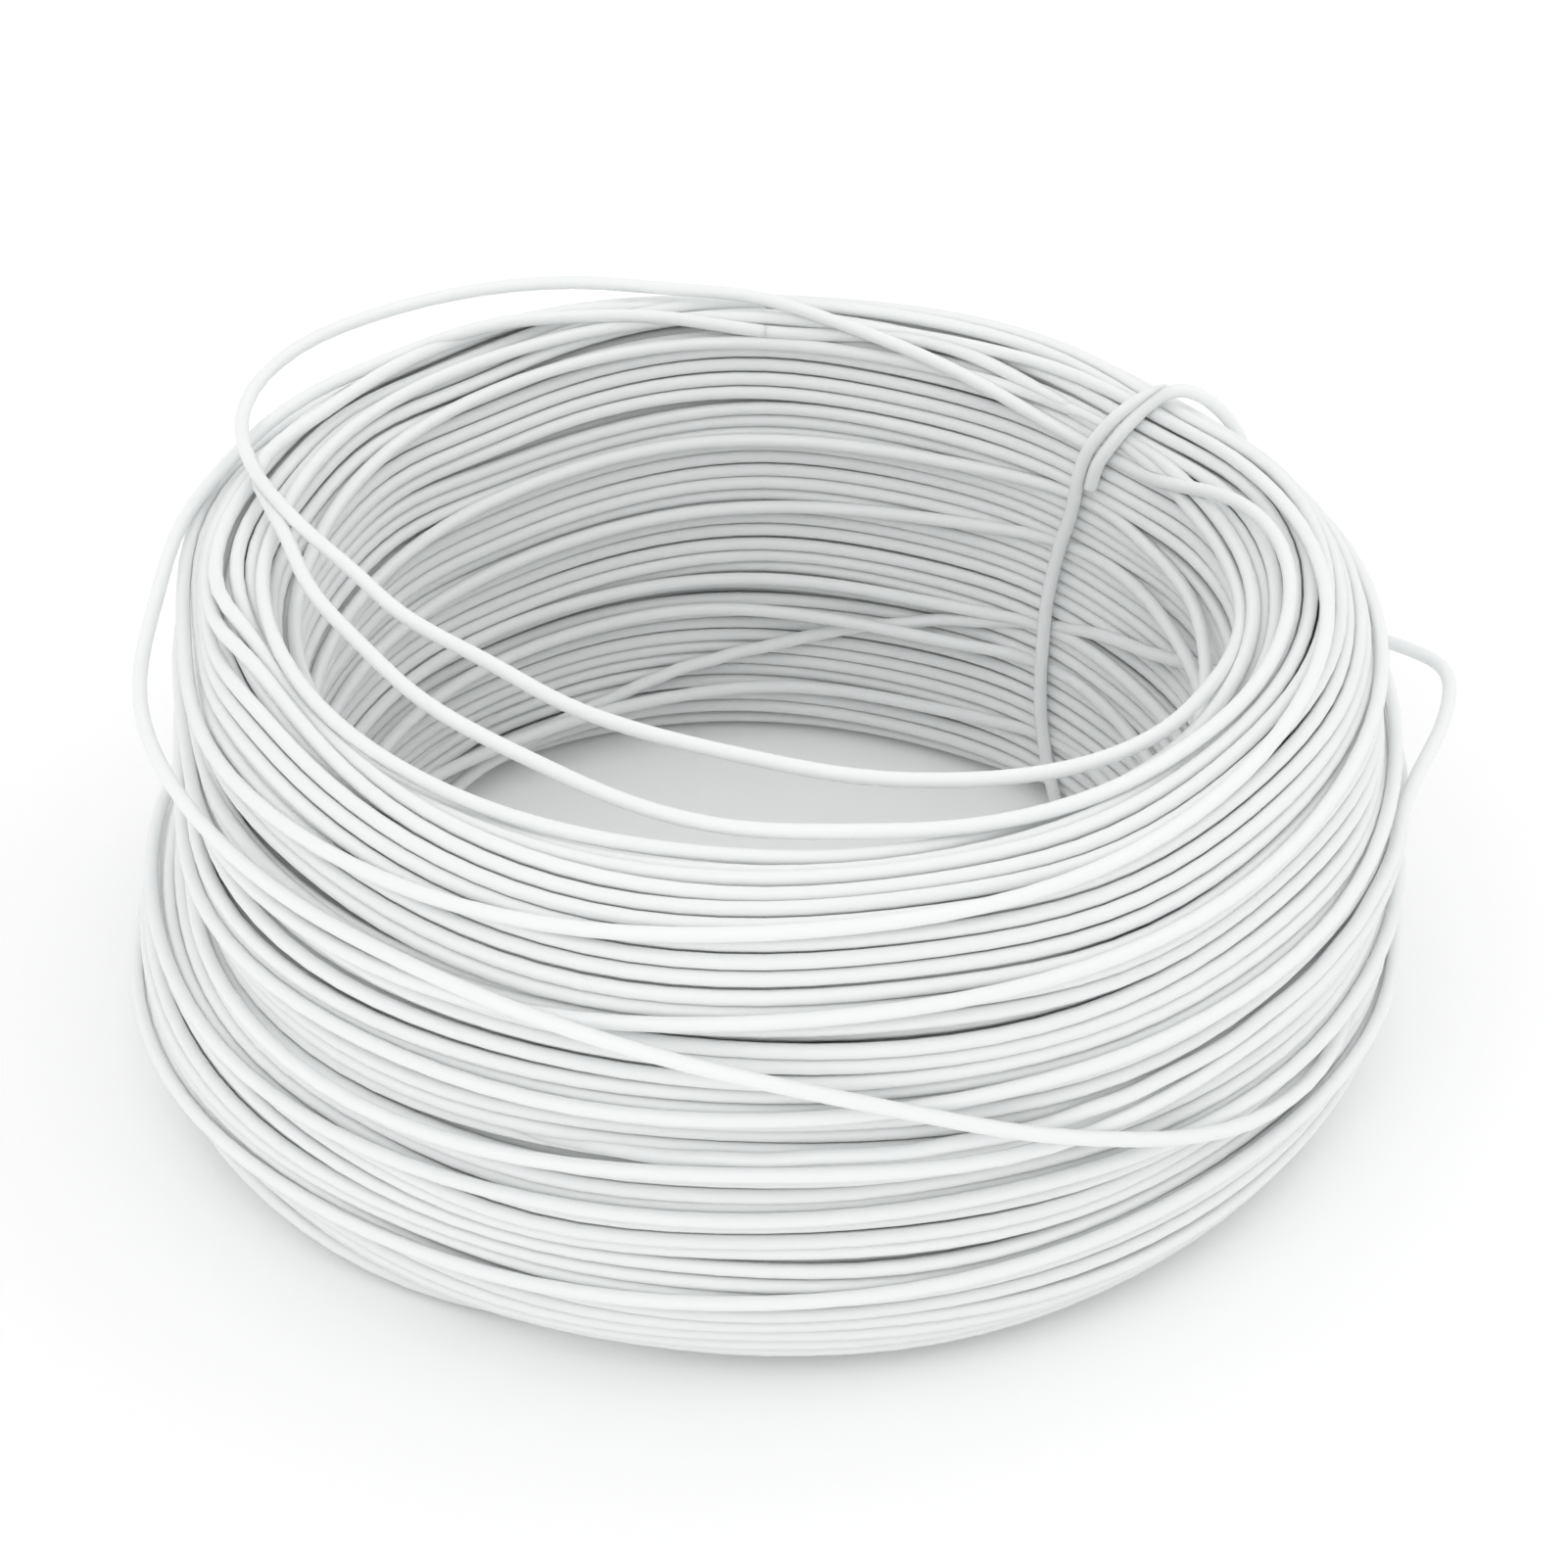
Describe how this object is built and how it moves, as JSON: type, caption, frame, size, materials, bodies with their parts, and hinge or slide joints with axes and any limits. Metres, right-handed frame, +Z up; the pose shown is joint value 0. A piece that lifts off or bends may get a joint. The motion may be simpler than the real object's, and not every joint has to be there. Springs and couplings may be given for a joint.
{
  "type": "bound coil of hook-up wire",
  "caption": "Hand coil of thin solid-core insulated hook-up wire with an open eye, bound at one place by a short tie of the same wire.",
  "frame": {"origin": "on the coil's axis, at the level of the surface that the coil lies on", "axes": "+Z up along the coil's axis; the tie lies in the quarter between +X and +Y, the bowed strand at -X"},
  "size_m": [0.1357, 0.1299, 0.0525],
  "materials": {
    "insulation": "satin white PVC",
    "copper": "bright drawn copper"
  },
  "bodies": {
    "root": {"packed_turns": "insulation", "lower_turns": "insulation", "upper_turns": "insulation", "loose_loops": "insulation", "crossing_strand": "insulation", "tie_insulation": "insulation", "tie_conductor": "copper"}
  },
  "joints": []
}
